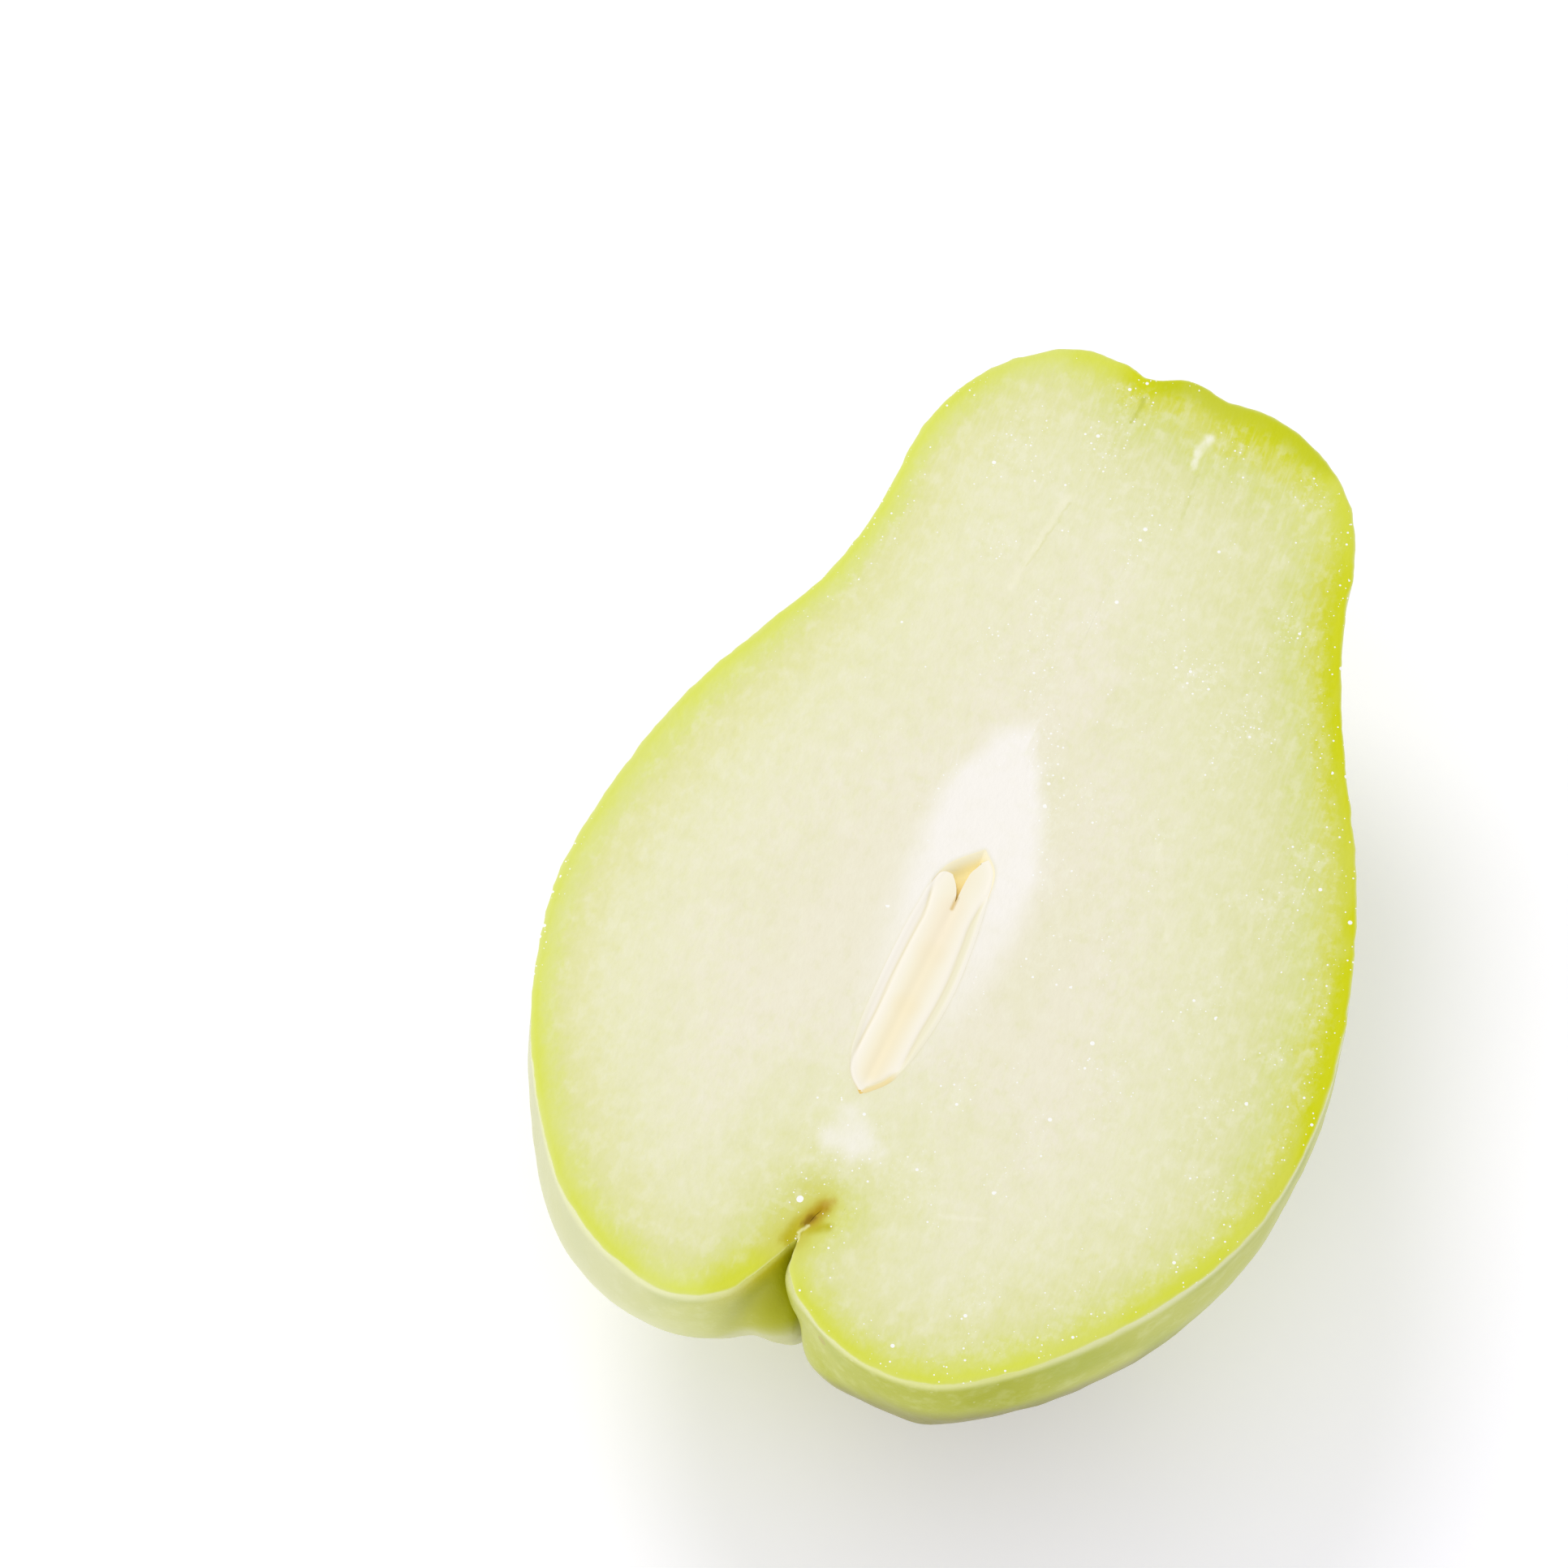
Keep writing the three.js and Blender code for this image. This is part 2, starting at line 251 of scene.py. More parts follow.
# Places round the cut face's edge in mm, with how vivid the band under the skin is there and how wide
BAND = [
    ((-43.5, -25.8), 0.0, 0.75), ((-46.0, -10.2), 0.0, 0.9), ((-40.7, 13.0), 0.0, 1.0),
    ((-27.0, 38.7), 0.0, 0.8),
    ((-25.6, 53.4), 0.0, 0.8), ((-16.2, 72.1), 0.1, 0.9), ((-9.8, 73.9), 0.3, 1.3), ((-1.4, 72.7), 1.0, 1.3),
    ((4.0, 73.0), 1.0, 1.8), ((10.5, 72.8), 1.0, 2.7), ((16.8, 71.8), 0.8, 2.4), ((24.9, 63.9), 0.5, 1.25),
    ((29.0, 49.0), 0.85, 1.35), ((32.6, 34.1), 1.0, 1.1), ((38.7, 19.4), 1.0, 1.2), ((42.8, 4.4), 1.0, 1.3),
    ((45.6, -10.7), 0.9, 1.35),
    ((44.8, -21.6), 1.0, 1.1), ((40.0, -34.7), 0.5, 0.9), ((29.5, -48.0), 0.45, 0.9), ((21.0, -55.6), 0.3, 1.0),
    ((0.8, -55.0), 0.35, 0.9), ((-4.4, -50.5), 0.3, 0.7), ((-6.6, -49.6), 0.7, 1.0), ((-9.4, -54.2), 0.6, 1.2),
    ((-15.3, -57.6), 0.05, 0.9), ((-27.9, -51.2), 0.15, 1.0), ((-35.9, -42.5), 0.1, 0.9),
]
# The white corky flesh round the seed: for each place along the part in mm, its left and right edge
CORK_Y = [-27.0, -20.0, -12.0, -4.0, 5.0, 10.0, 15.0, 20.0, 23.6]
CORK_LEFT = [-6.5, -8.4, -9.2, -9.4, -9.2, -8.9, -8.0, -5.0, -1.9]
CORK_RIGHT = [-3.0, 2.0, 4.8, 6.2, 6.3, 4.9, 3.0, 0.6, -1.1]

# The wet cut flesh: cream in the middle, paler green outward and yellow-green right under the skin
flesh, tree, shader, place = new_material("moist cut flesh")
level = add(tree, "ShaderNodeVectorMath", {0: place, 1: (1, 1, 0)}, operation="MULTIPLY").outputs[0]
wander = grain(tree, level, 2.6, flat=True)
fray = grain(tree, level, 0.7, stretch=(1, 1.5, 1), flat=True)
mottle = grain(tree, level, 2.0, stretch=(0.9, 1.3, 1), detail=3.5, flat=True)
worn = maths(tree, "MULTIPLY_ADD", wander, 0.6, 0.7)
worn = maths(tree, "ADD", worn, maths(tree, "MULTIPLY_ADD", fray, 0.6, -0.3))
depth = maths(tree, "MULTIPLY", maths(tree, "DIVIDE", stored(tree, "rim"), stored(tree, "reach")), worn)
pale_side = ramp(tree, depth, [
    (0.0, "#E6EAA4"), (0.16, "#DFE675"), (0.7, "#DFE763"), (1.3, "#E0E772"), (2.0, "#E0E682"),
    (2.8, "#E1E68C"), (3.6, "#E3E598"), (5.0, "#E6E6A6"), (7.0, "#E9E8B1"), (10.0, "#ECEBBF"),
    (14.0, "#EEECC8"), (26.0, "#F1ECD5"),
])
vivid_side = ramp(tree, depth, [
    (0.0, "#E2E59A"), (0.1, "#DADE5C"), (0.22, "#D5D90E"), (1.1, "#D1D60C"), (1.7, "#D4D832"),
    (2.3, "#D7DA55"), (2.9, "#D9DC6A"), (3.6, "#DADE7E"), (4.8, "#DCE090"), (6.5, "#E1E2A3"),
    (9.0, "#E5E5B0"), (14.0, "#EAE9C0"), (26.0, "#F0EBD3"),
])
colour = mix(tree, stored(tree, "vivid"), pale_side, vivid_side)
colour = mix(tree, maths(tree, "MULTIPLY", stored(tree, "cloud"), 0.17), colour, "#E3E4AC")
inside = soft_step(tree, stored(tree, "rim"), 0.5, 3.5)
flecks = maths(tree, "MULTIPLY", soft_step(tree, mottle, 0.48, 0.72), inside)
colour = mix(tree, maths(tree, "MULTIPLY", flecks, 0.22), colour, "#F7F5E2")
green = maths(tree, "MULTIPLY", soft_step(tree, mottle, 0.46, 0.28), inside)
colour = mix(tree, maths(tree, "MULTIPLY", green, 0.12), colour, "#D9DA94")
colour = mix(tree, stored(tree, "shoulder"), colour, "#C0C80C")
fibres = soft_step(tree, grain(tree, level, 0.55, stretch=(1, 9, 1), detail=2.0, flat=True), 0.46, 0.7)
colour = mix(tree, maths(tree, "MULTIPLY", fibres, stored(tree, "fibrous")), colour, "#F3F2D8")
cork = maths(tree, "MULTIPLY", stored(tree, "cork"), maths(tree, "MULTIPLY_ADD", wander, 0.5, 0.75))
colour = mix(tree, cork, colour, "#FBF7F0")
# Fibres that run up to the stem, cut lengthwise
nudge = maths(tree, "ADD", maths(tree, "MULTIPLY_ADD", wander, 0.7, -0.65), maths(tree, "MULTIPLY", fray, 0.6))
sideways = add(tree, "ShaderNodeCombineXYZ", {0: nudge, 1: nudge}).outputs[0]
frayed = add(tree, "ShaderNodeVectorMath", {0: level, 1: sideways}, operation="ADD").outputs[0]
# Each has its start, end and width in mm, its colour and how strongly it shows
for start, end, width, code, strength in [
    ((-6.7, 53.8), (-9.1, 39.9), 0.75, "#F6F3D6", 0.5),
    ((-6.2, 53.0), (-8.2, 43.4), 0.30, "#DCDB9C", 0.40),
    ((6.4, 66.8), (5.7, 64.5), 1.00, "#F6F6DC", 0.80),
    ((5.7, 64.5), (5.8, 62.6), 0.80, "#F6F6DC", 0.65),
    ((6.6, 61.6), (6.7, 55.2), 0.35, "#D6D98C", 0.55),
    ((-2.4, 69.9), (-2.8, 66.2), 0.50, "#C3C83A", 0.60),
    ((17.4, 13.0), (21.9, 1.5), 0.60, "#F3F0D4", 0.45),
    ((9.0, -39.2), (13.6, -38.0), 0.60, "#F7F4DC", 0.45),
]:
    line = maths(tree, "MULTIPLY", streak(tree, frayed, start, end, width), strength)
    broken = maths(tree, "MULTIPLY", line, maths(tree, "MULTIPLY_ADD", mottle, 1.6, 0.2))
    colour = mix(tree, broken, colour, code)
# Olive and brown flesh at the inner end of the mouth, and a painted highlight along the right lip of its slit
colour = mix(tree, maths(tree, "MULTIPLY", stored(tree, "olive"), 0.6), colour, "#D4D170")
for start, end, width, code, strength in [
    ((-4.3, -44.2), (-5.5, -47.2), 2.2, "#C6BE34", 0.95),
    ((-5.2, -45.0), (-5.9, -47.4), 1.2, "#BDB212", 0.85),
    ((-4.1, -45.3), (-2.3, -44.5), 1.1, "#BFB90E", 0.85),
    ((-3.4, -42.2), (-4.3, -44.4), 2.0, "#C8B834", 0.95),
    ((-3.5, -42.5), (-4.3, -44.2), 1.35, "#B29206", 0.95),
    ((-3.3, -41.9), (-2.8, -41.5), 0.8, "#C29E44", 0.4),
    ((-4.2, -43.9), (-4.6, -44.8), 0.75, "#8A6A06", 0.85),
    # Painted highlight: two pale lines along the right lip of the slit
    ((-4.2, -44.9), (-4.9, -46.1), 0.3, "#F0EEA8", 0.8),
    ((-4.9, -46.1), (-4.9, -47.2), 0.3, "#F0EEA8", 0.8),
]:
    stain = streak(tree, frayed, start, end, width)
    colour = mix(tree, maths(tree, "MULTIPLY", stain, strength), colour, code)
# Painted shade: the flesh a trace darker at the edge of the hollow, where it slopes down into shade
painted_edge_shade = maths(tree, "MULTIPLY", soft_step(tree, stored(tree, "hollow_edge"), 0.5, 0.0), 0.35)
colour = mix(tree, painted_edge_shade, colour, "#EAE4BE")
# Painted glints and sheen of the juice on the flesh: white dots and pale smears, with the roughness lower at
# the dots
wet_glint_share = stored(tree, "wet_glint_share")
sheen_patches = soft_step(tree, grain(tree, level, 1.0, detail=3.0, flat=True), 0.5, 0.66)
painted_sheen = maths(tree, "MULTIPLY", sheen_patches, maths(tree, "MULTIPLY", wet_glint_share, inside))
colour = mix(tree, maths(tree, "MULTIPLY", painted_sheen, 0.2), colour, "#F8F7E6")
glint_dots = specks(tree, level, 1.5, 0.26, maths(tree, "MULTIPLY", wet_glint_share, 0.34), rare=5.0, flat=True)
small_glint_dots = specks(tree, level, 0.65, 0.13, maths(tree, "MULTIPLY", wet_glint_share, 0.2), rare=3.0, flat=True)
largest_glint = maths(tree, "GREATER_THAN", streak(tree, level, (-6.2, -42.3), (-6.18, -42.2), 0.74), 0.5)
painted_glints = maths(tree, "MAXIMUM", maths(tree, "MAXIMUM", glint_dots, small_glint_dots), largest_glint)
colour = mix(tree, painted_glints, colour, "#FFFFFC")
bump = add(tree, "ShaderNodeBump", {"Height": fray, "Strength": 0.35, "Distance": 0.12 * MM})
tree.links.new(colour, shader.inputs["Base Color"])
tree.links.new(bump.outputs[0], shader.inputs["Normal"])
tree.links.new(maths(tree, "MULTIPLY_ADD", painted_glints, -0.3, 0.48), shader.inputs["Roughness"])
shader.inputs["IOR"].default_value = 1.34
shader.inputs["Specular IOR Level"].default_value = 0.25

# The thin skin: pale yellow-green with lighter mottling along the fruit, satin, greener further down
skin, tree, shader, place = new_material("thin satin skin")
rim = stored(tree, "rim")
tone = stored(tree, "tone")
colour = mix(tree, tone, "#ABB11C", "#C6CB60")
streaks = soft_step(tree, grain(tree, place, 2.4, stretch=(0.7, 5.0, 0.7), detail=3.0), 0.45, 0.75)
light = maths(tree, "MULTIPLY", streaks, maths(tree, "MULTIPLY_ADD", tone, 0.28, 0.22))
colour = mix(tree, light, colour, "#DADE9C")
colour = mix(tree, maths(tree, "MULTIPLY", stored(tree, "blotch"), 0.5), colour, "#A9B437")
pores = specks(tree, place, 1.7, 0.24, 0.55)
colour = mix(tree, maths(tree, "MULTIPLY", pores, 0.3), colour, "#DFE3A8")
scars = specks(tree, place, 7.0, 0.7, 0.3, rare=2.0)
colour = mix(tree, maths(tree, "MULTIPLY", scars, 0.4), colour, "#B79C5C")
# Painted shade: dark olive on the skin that faces down, on the right lobe
colour = mix(tree, maths(tree, "MULTIPLY", stored(tree, "under"), 0.9), colour, "#7A7206")
# Deep olive-yellow in the mouth's cleft: partly the skin's own colour, partly painted shade in the crease
cleft = mix(tree, soft_step(tree, rim, 4.5, 0.5), "#ACAD00", "#D6CC00")
colour = mix(tree, stored(tree, "cleft"), colour, cleft)
# Painted light and sheen: the left lobe's skin paler and whiter, as lit from the left
colour = mix(tree, stored(tree, "pale"), colour, "#DDDDBC")
colour = mix(tree, stored(tree, "pad"), colour, "#CFD09E")
# A pale line along the blunt cut edge: partly the skin's own colour, partly a painted highlight where the edge
# rounds over
pale_edge_and_highlight = mix(tree, tone, "#E2E58C", "#EAECBA")
pale_edge_and_highlight = mix(tree, stored(tree, "cleft"), pale_edge_and_highlight, "#E6E66C")
colour = mix(tree, maths(tree, "MULTIPLY", soft_step(tree, rim, 1.9, 0.3), 0.85), colour, pale_edge_and_highlight)
colour = mix(tree, stored(tree, "stain"), colour, "#A08110")
fine = grain(tree, place, 0.55, detail=3.0)
bump = add(tree, "ShaderNodeBump", {"Height": fine, "Strength": 0.3, "Distance": 0.15 * MM})
tree.links.new(colour, shader.inputs["Base Color"])
tree.links.new(bump.outputs[0], shader.inputs["Normal"])
tree.links.new(maths(tree, "MULTIPLY_ADD", streaks, 0.12, 0.34), shader.inputs["Roughness"])
shader.inputs["IOR"].default_value = 1.42
shader.inputs["Specular IOR Level"].default_value = 0.35
shader.inputs["Coat Weight"].default_value = 0.06
shader.inputs["Coat Roughness"].default_value = 0.3

# The wall of the seed's hollow: smooth and tan, with painted shade deepening it to amber further down and in
# the V
hollow, tree, shader, place = new_material("tan wall of the hollow")
axes = add(tree, "ShaderNodeSeparateXYZ", {0: place})
deep = soft_step(tree, axes.outputs[2], 42.0, 41.2)
colour = mix(tree, deep, "#FAF1CE", "#FBE8A2")
# Painted shade: deeper amber in the V between the tips of the seed leaves
colour = mix(tree, soft_step(tree, axes.outputs[1], 2.2, -1.0), colour, "#EBC76A")
tree.links.new(colour, shader.inputs["Base Color"])
shader.inputs["Roughness"].default_value = 0.5

fruit = merged_copy("fruit_half", "fruit")
fruit.data.materials.clear()
for material in (flesh, skin, hollow):
    fruit.data.materials.append(material)
for face in fruit.data.polygons:
    x, y, z = [v / MM for v in face.center]
    if face.normal.z > 0.9 and face.center.z > CUT_FACE - SAME_HEIGHT * MM:
        face.material_index = FLESH
    elif -9 < x < 3 and -30 < y < 8 and z > 28:
        face.material_index = HOLLOW
    else:
        face.material_index = SKIN
crease_between_materials(fruit)
subdivide(fruit, 2)
mesh = fruit.data
places = points_of(mesh) / MM
rim_lines = border(mesh, FLESH, SKIN)
from_rim = distance_to_lines(places, places[rim_lines[:, 0]], places[rim_lines[:, 1]])
hollow_lines = border(mesh, FLESH, HOLLOW)
from_hollow = distance_to_lines(places, places[hollow_lines[:, 0]], places[hollow_lines[:, 1]])
on_skin = np.zeros(len(places), bool)
in_hollow = np.zeros(len(places), bool)
for face in mesh.polygons:
    if face.material_index == SKIN:
        on_skin[list(face.vertices)] = True
    elif face.material_index == HOLLOW:
        in_hollow[list(face.vertices)] = True
on_face = (places[:, 2] > CUT_FACE / MM - SAME_HEIGHT) & ~on_skin

# What varies over more than a millimetre is worked out point by point. A place there is across and along the
# cut face in mm, and the wet share says how much juice stands on the flesh and so where glints and a sheen are
# painted
x, y, z = places.T
closeness = np.stack([((places[:, :2] - at) ** 2).sum(1) ** -1.5 for at, vivid, wide in BAND])
closeness /= closeness.sum(0)
clouds = noise_at(places, 10.0, stretch=(0.8, 1.5, 1)) + 0.6 * noise_at(places + 50, 3.2, stretch=(0.8, 1.6, 1))
left_in = x - np.interp(y, CORK_Y, CORK_LEFT)
right_in = np.interp(y, CORK_Y, CORK_RIGHT) - x
softness = np.interp(y, [-20.0, 5.0, 23.0], [5.0, 3.2, 1.2])
cork = rise(left_in, -0.4 * softness, softness) * rise(right_in, -0.3 * softness, 0.6 * softness)
cork *= rise(y, -27.0, 6.0) * 0.8 + 0.2
cork *= (y > CORK_Y[0]) & (y < CORK_Y[-1])
patch = rise(np.hypot((x + 3.4) / 1.15, y + 33.4) + 3.0 * noise_at(places, 3.0), 4.8, 0.5)
cork = np.maximum(cork, 0.75 * patch)
to_right = x + 0.35 * y
wet_glint_share = rise(noise_at(places, 6.0) + 0.5 * noise_at(places + 20, 2.5), 0.02, 0.35) * rise(to_right, -16.0, 6.0)
wet_glint_share = np.maximum(wet_glint_share, rise(away_from(places, (-4.5, 38.0), (6.6, 4.0)), 2.6, 0.8) * 1.4)
wet_glint_share = np.maximum(wet_glint_share, rise(away_from(places, (-3.0, -34.0), (-6.0, -43.0)), 6.0, 1.0) * 0.9)
wet_glint_share = np.maximum(wet_glint_share, rise(away_from(places, (-7.5, -16.0), (-7.5, -30.0)), 2.5, 0.5) * 0.5)
for at, reach, strength in [
    ((14.9, 35.9), 4.5, 1.9), ((21.7, 30.3), 4.0, 1.8), ((24.7, 30.2), 3.0, 1.4), ((-4.5, 60.7), 3.0, 1.2),
    ((1.8, 53.4), 2.5, 1.0), ((-4.9, -47.1), 1.8, 1.6), ((-6.4, -41.5), 4.5, 0.8), ((4.5, -36.0), 6.0, 0.9),
]:
    wet_glint_share = np.maximum(wet_glint_share, rise(np.hypot(x - at[0], y - at[1]), reach, 0.3 * reach) * strength)
near_skin = rise(from_rim, 5.5, 2.5) * rise(to_right, -32.0, -8.0) * rise(y, 62.0, 40.0)
wet_glint_share = np.maximum(wet_glint_share, near_skin * 0.75)
wet_glint_share *= 1 - 0.9 * rise(away_from(places, (-3.1, -41.5), (-4.5, -44.6)), 1.8, 1.0)
left_edge = rise(from_rim, 1.6, 0.5) * rise(x, -36.0, -41.0) * rise(np.abs(y + 16.0), 16.0, 6.0)
wet_glint_share = np.maximum(wet_glint_share, 1.8 * left_edge)
lumps = noise_at(places, 9.0) + 0.5 * noise_at(places + 9, 3.5)
store(mesh, "rim", from_rim)
store(mesh, "hollow_edge", from_hollow)
store(mesh, "vivid", np.clip(1.12 * closeness.T @ [vivid for at, vivid, wide in BAND], 0, 1))
store(mesh, "reach", closeness.T @ [wide for at, vivid, wide in BAND])
store(mesh, "cloud", rise(clouds, -0.1, 0.5))
store(mesh, "cork", cork)
shoulder = rise(from_rim, 4.2, 0.8) * rise(from_rim, 0.0, 0.3)
shoulder *= rise(away_from(places, (1.0, 74.0), (20.0, 70.0)), 5.0, 2.0)
store(mesh, "shoulder", 0.6 * shoulder)
towards_stem = np.maximum(rise(y, 28.0, 48.0), 0.8 * rise(x, 6.0, 26.0))
store(mesh, "fibrous", 0.16 * towards_stem * rise(from_rim, 1.0, 5.0))
store(mesh, "olive", rise(away_from(places, (-4.6, -41.5), (-6.4, -48.0)), 4.6, 0.3))
store(mesh, "wet_glint_share", wet_glint_share)
# The skin's tone is 0 where it is deep green and 1 where it is pale
tone = rise(noise_at(places, 17.0, stretch=(0.8, 1.9, 0.8)), -0.3, 0.35) * 0.6 + rise(from_rim, 22.0, 4.0) * 0.4
tone -= 0.75 * rise(np.hypot(x - 9.0, y + 55.0), 24.0, 6.0)
tone += 0.35 * rise(np.hypot(x - 32.0, y + 44.0), 20.0, 5.0)
faces = normals_of(mesh)
# Painted light: the right lobe's flank that faces left is paler, as lit from the left
tone += 0.7 * rise(-faces[:, 0], 0.1, 0.7) * rise(x, -6.0, -5.0) * rise(y, -44.0, -50.0)
store(mesh, "tone", np.clip(tone, 0, 1))
store(mesh, "blotch", rise(noise_at(places, 6.5, stretch=(1, 2.2, 1)), 0.1, 0.5))
# Where the left lobe's skin is painted paler, as lit from the left
pale = 0.65 * rise(x, -4.0, -26.0) * rise(y, 10.0, -25.0) * rise(z, 8.0, 26.0)
on_pad = rise(np.linalg.norm(places - (-4.2, -50.3, 23.0), axis=1), 11.5, 8.3)
store(mesh, "pale", pale)
store(mesh, "pad", 0.66 * on_pad)
right_lip = rise(-faces[:, 0], -0.1, 0.4) * rise(x, -6.0, -5.0)
from_slit = away_from(places, (-4.4, -44.0), (-3.4, -48.6))
store(mesh, "cleft", rise(from_slit, 14.0, 2.5) * (1 - 0.9 * right_lip))
store(mesh, "stain", rise(away_from(places, (-3.4, -42.0), (-4.3, -44.3)), 1.0, 0.5))
# Where shade is painted on the right lobe's downward-facing skin
store(mesh, "under", rise(-faces[:, 2], 0.0, 0.4) * rise(x, -4.0, 4.0) * rise(x + y, 10.0, -16.0))

# The skin isn't quite even, the flesh swells a trace between its fibres, and the cut edge is a little blunt
fade = np.clip((from_rim - 0.5) / 4, 0, 1) * np.clip((z - 0.5) / 4, 0, 1)
push = np.where(on_skin, (0.22 * lumps + 0.07 * noise_at(places, 3.2, stretch=(1, 0.6, 1))) * fade, 0.0)
from_lip = np.linalg.norm(places - (-4.0, -51.5, 38.5), axis=1)
faces_left = rise(-faces[:, 0], 0.2, 0.7)
push += np.where(on_skin, 0.7 * rise(from_lip, 5.0, 1.0) * faces_left * rise(from_rim, 0.2, 1.5), 0.0)
push += np.where(on_face, 0.05 * lumps * np.clip(np.minimum(from_rim, from_hollow), 0, 1), 0.0)
places = places + faces * push[:, None]
ragged = np.stack([noise_at(places, 2.5), noise_at(places + 70, 2.5)], axis=1)
ragged += 0.4 * np.stack([noise_at(places, 0.9), noise_at(places + 30, 0.9)], axis=1)
places[:, :2] += 0.2 * ragged * np.clip(1 - from_rim / 1.2, 0, 1)[:, None]
blunt = np.clip(1 - from_rim / 0.35, 0, 1) * (z > CUT_FACE / MM - 0.1)
places[:, 2] = np.clip(places[:, 2] - 0.10 * blunt, 0, None)
# The lips of the mouth's slit press against each other at its inner end
SLIT_Y = [-50.0, -47.3, -44.8, -42.4]
middle = np.interp(y, SLIT_Y, [-5.65, -4.95, -4.25, -3.4])
half_gap = np.interp(y, SLIT_Y, [0.95, 0.35, 0.35, 0.0])
LEFT_OPEN = 0.01
press = rise(y, -47.9, -46.6) * rise(y, -41.0, -42.2) * rise(z, 33.0, 38.0) * rise(np.abs(x - middle), 2.2, 0.4)
places[:, 0] += np.sign(middle - x) * np.clip(half_gap - LEFT_OPEN, 0, None) * press
# The hollow is a smooth shallow bowl past the tips of the seed leaves, between them and at its low tip
hollow_starts, hollow_ends = [places[hollow_lines[:, i]] * (1, 1, 0) for i in (0, 1)]
past_tips = np.maximum(rise(y, -1.5, 0.0), rise(away_from(places, (-1.95, -1.5), (-2.2, 3.0)), 2.4, 1.4))
low_tip = hollow_starts[hollow_starts[:, 1].argmin()]
past_tips = np.maximum(past_tips, rise(np.hypot(x - low_tip[0], y - low_tip[1]), 1.1, 0.5))
from_wall = distance_to_lines(places * (1, 1, 0), hollow_starts, hollow_ends)
bowl = CUT_FACE / MM - (0.85 - 0.3 * rise(y, 2.0, -0.5)) * rise(from_wall, 0.0, 1.8)
bowl -= 0.2 * rise(y, 2.5, -0.5) * rise(y, -10.0, -6.0) * rise(from_wall, 0.0, 0.15)
below_face = places[:, 2] < CUT_FACE / MM - SAME_HEIGHT
places[:, 2] += in_hollow * below_face * past_tips * (bowl - places[:, 2])
mesh.vertices.foreach_set("co", (places * MM).ravel())
select_only(fruit)
bpy.ops.object.shade_smooth_by_angle(angle=math.radians(40))
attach(fruit, "root")
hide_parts("fruit_half")

# The cut half of the one flat seed: two seed leaves, firm and smooth, joined at the mouth end, in a soft coat.
# It fills its hollow up to the cut face. The piece stands for CAD node seed_half.
# The height in mm of the solid's cut edge
SEED_EDGE = 41.45

# The cut seed leaves are smooth and faintly glossy, with soft streaks along them, in a paler coat
kernel, tree, shader, place = new_material("smooth cream seed")
level = add(tree, "ShaderNodeVectorMath", {0: place, 1: (1, 1, 0)}, operation="MULTIPLY").outputs[0]
cloudy = grain(tree, level, 2.4, stretch=(0.7, 3.0, 1), detail=3.0, flat=True)
within = maths(tree, "ADD", stored(tree, "within"), maths(tree, "MULTIPLY_ADD", cloudy, 0.6, -0.3))
colour = ramp(tree, within, [
    (0.0, "#FCF6E8"), (0.5, "#FCF6E6"), (1.3, "#FAF4DF"), (2.4, "#F9F1D7"), (4.0, "#F8EFD2"),
])
for start, end, width, code, strength in [
    ((-2.2, -2.6), (-2.4, -8.5), 2.6, "#F9ECD0", 0.8),
    ((-2.4, -8.5), (-3.0, -15.8), 2.2, "#F7EBCA", 0.75),
    ((-3.0, -15.8), (-3.7, -25.0), 2.4, "#F8EBC6", 0.75),
]:
    colour = mix(tree, maths(tree, "MULTIPLY", streak(tree, level, start, end, width), strength), colour, code)
# Painted shade: the coat greyer green on the right of the seed, where it falls away into shade
coat = mix(tree, stored(tree, "right"), "#FCF6E9", "#EDE8CA")
axes = add(tree, "ShaderNodeSeparateXYZ", {0: place})
beside = mix(tree, soft_step(tree, axes.outputs[1], -10.0, -22.0), "#FAF5EA", "#F2EDD4")
coat = mix(tree, stored(tree, "outer"), coat, beside)
coat = mix(tree, stored(tree, "low"), coat, "#F0DDA2")
colour = mix(tree, stored(tree, "coat"), colour, coat)
# Painted shade: a thin darker line in the fine groove between the coat and the seed leaves
groove = mix(tree, stored(tree, "right"), "#ECE2BC", "#EBE3BF")
colour = mix(tree, maths(tree, "MULTIPLY", stored(tree, "seam"), 0.8), colour, groove)
parted = streak(tree, level, (-1.95, -1.0), (-2.05, -2.5), 0.4)
colour = mix(tree, maths(tree, "MULTIPLY", parted, 0.8), colour, "#DDBB6C")
tree.links.new(colour, shader.inputs["Base Color"])
shader.inputs["Roughness"].default_value = 0.42
shader.inputs["IOR"].default_value = 1.42
shader.inputs["Specular IOR Level"].default_value = 0.4

seed = merged_copy("seed_half", "seed")
seed.data.materials.clear()
seed.data.materials.append(kernel)
at_edge = np.abs(points_of(seed.data)[:, 2] / MM - SEED_EDGE) < SAME_HEIGHT
store(seed.data, "cut_edge", at_edge.astype(float))
subdivide(seed, 3)
mesh = seed.data
places = points_of(mesh) / MM
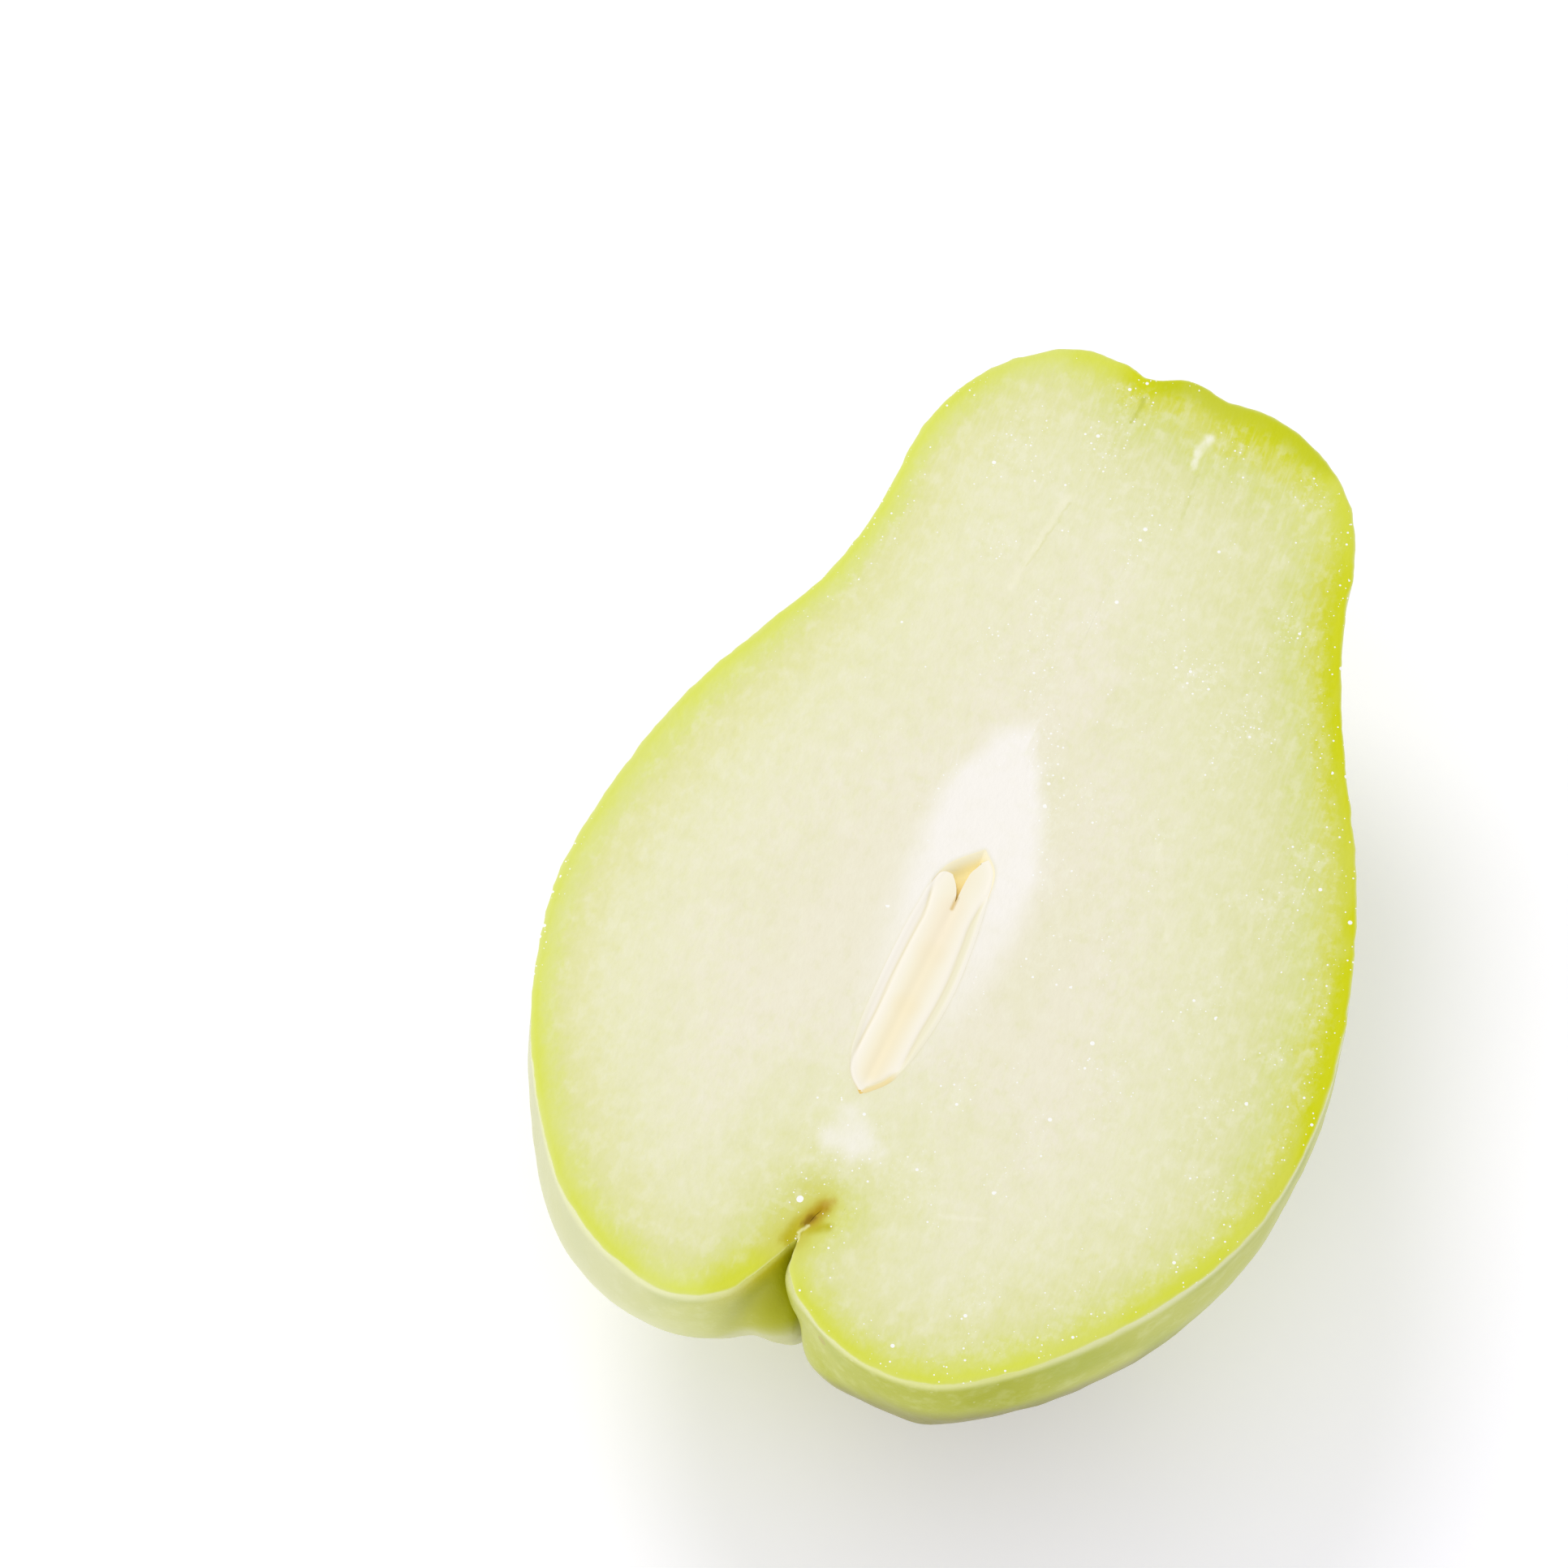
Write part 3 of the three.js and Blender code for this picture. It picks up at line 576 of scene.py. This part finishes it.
# Its cut side spreads over the small gap to the wall of the hollow, and a trace further, so that none shows
WIDEST_GAP = 1.3
FURTHER = 0.12
edge_share = np.empty(len(places))
mesh.attributes["cut_edge"].data.foreach_get("value", edge_share)
whole_edge = places[edge_share > 0.95]
cut_edge = whole_edge * (1, 1, 0)
way_to_wall = to_lines(cut_edge, hollow_starts, hollow_ends)
gap = np.linalg.norm(way_to_wall, axis=1)
cut_edge, way_to_wall, gap = [values[gap < WIDEST_GAP] for values in (cut_edge, way_to_wall, gap)]
spread = way_to_wall * ((1 + FURTHER / gap) * rise(gap, WIDEST_GAP, 0.8))[:, None]
moved = np.empty_like(places)
inward = np.empty(len(places))
edge_height = np.empty(len(places))
for first in range(0, len(places), BATCH):
    level_places = places[first:first + BATCH, None, :2]
    nearest = np.linalg.norm(whole_edge[None, :, :2] - level_places, axis=2).argmin(1)
    edge_height[first:first + BATCH] = whole_edge[nearest, 2]
    away = np.linalg.norm(cut_edge[None, :, :2] - level_places, axis=2)
    inward[first:first + BATCH] = away.min(1)
    pull = (away + 0.02) ** -3.0
    moved[first:first + BATCH] = (pull @ spread) / pull.sum(1)[:, None]
near_top = rise(places[:, 2], 36.0, 39.5)
cut_side = places[:, 2] > edge_height - SAME_HEIGHT
places += moved * (rise(inward, 2.6, 0.0) * near_top)[:, None]
# The coat is about 1 mm thick along the middle and parted from the seed leaves by a fine groove
x, y, z = places.T
to_wall = distance_to_lines(places * (1, 1, 0), hollow_starts, hollow_ends)
thick = 0.12 + 0.95 * rise(y, -26.0, -17.0) * rise(y, 1.5, -5.0)
from_middle = x + 2.1 - 0.08 * y
on_right = rise(from_middle, -0.2, 0.5)
thick += 0.45 * rise(away_from(places, (-4.2, -28.0), (-1.6, -25.4)), 1.8, 0.4) * on_right
height = 41.945 + 0.07 * rise(to_wall, 0.7, 0.15) - 0.06 * np.exp(-((to_wall - thick) / 0.24) ** 2)
height -= 0.05 * np.exp(-(away_from(places, (-1.95, -1.8), (-4.1, -26.5)) / 0.5) ** 2)
between = rise(away_from(places, (-1.95, -1.4), (-2.4, 4.0)), 1.4, 0.5)
height -= 0.15 * between * rise(inward, 0.5, 0.0)
places[:, 2] += (height - z) * cut_side
places[:, 2] += 0.26 * near_top * (1 - cut_side)
store(mesh, "within", np.clip(to_wall - thick, 0, 4))
store(mesh, "coat", rise(to_wall - thick, 0.14, -0.14))
store(mesh, "outer", 0.8 * rise(to_wall, 0.7, 0.1))
store(mesh, "seam", np.exp(-((to_wall - thick) / 0.17) ** 2) * rise(thick, 0.2, 0.6))
store(mesh, "right", rise(from_middle, -0.6, 0.6))
store(mesh, "low", rise(away_from(places, (-4.2, -28.0), (-1.9, -25.8)), 2.2, 0.3) * rise(y, -22.5, -25.0))
mesh.vertices.foreach_set("co", (places * MM).ravel())
select_only(seed)
bpy.ops.object.shade_smooth_by_angle(angle=math.radians(60))
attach(seed, "root")
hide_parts("seed_half")

# The white table that it is photographed on
bpy.ops.object.select_all(action="DESELECT")
bpy.ops.mesh.primitive_plane_add(size=6.0)
table = bpy.context.active_object
table.name = "table"
surface, tree, shader, place = new_material("white table")
shader.inputs["Base Color"].default_value = linear("#F7F6FE")
shader.inputs["Roughness"].default_value = 0.9
shader.inputs["Specular IOR Level"].default_value = 0.0
shader.inputs["Emission Color"].default_value = linear("#FFFFFF")
shader.inputs["Emission Strength"].default_value = 0.20
table.data.materials.append(surface)

# Light: an even bright room, a large window to the upper left of the picture and a weaker one low on the left
world = bpy.data.worlds.new("bright room")
bpy.context.scene.world = world
world.use_nodes = True
world.node_tree.nodes["Background"].inputs["Color"].default_value = linear("#FEFEFF")
world.node_tree.nodes["Background"].inputs["Strength"].default_value = 0.74
for name, size, energy, at in [
    ("window", 0.70, 6.3, (-0.68, 0.68, 1.18)),
    ("low window", 0.60, 2.6, (-0.45, -1.08, 0.35)),
]:
    light = bpy.data.lights.new(name, "AREA")
    light.shape = "DISK"
    light.size = size
    light.energy = energy
    light.color = (1.0, 0.99, 0.97)
    window = bpy.data.objects.new(name, light)
    bpy.context.scene.collection.objects.link(window)
    window.location = at
    window.rotation_euler = (Vector((0, 0, 0.02)) - window.location).to_track_quat("-Z", "Y").to_euler()

# Camera: looks down on the half from 60 degrees, over its mouth end
camera = bpy.data.objects.new("camera", bpy.data.cameras.new("camera"))
bpy.context.scene.collection.objects.link(camera)
bpy.context.scene.camera = camera
camera.location = (0.091915, -0.327671, 0.655212)
camera.rotation_euler = (math.radians(30.0), 0.0, math.radians(19.3))
camera.data.sensor_width = 36.0
camera.data.lens = 143.6
bpy.context.scene.view_settings.view_transform = "Standard"
bpy.context.scene.view_settings.look = "None"
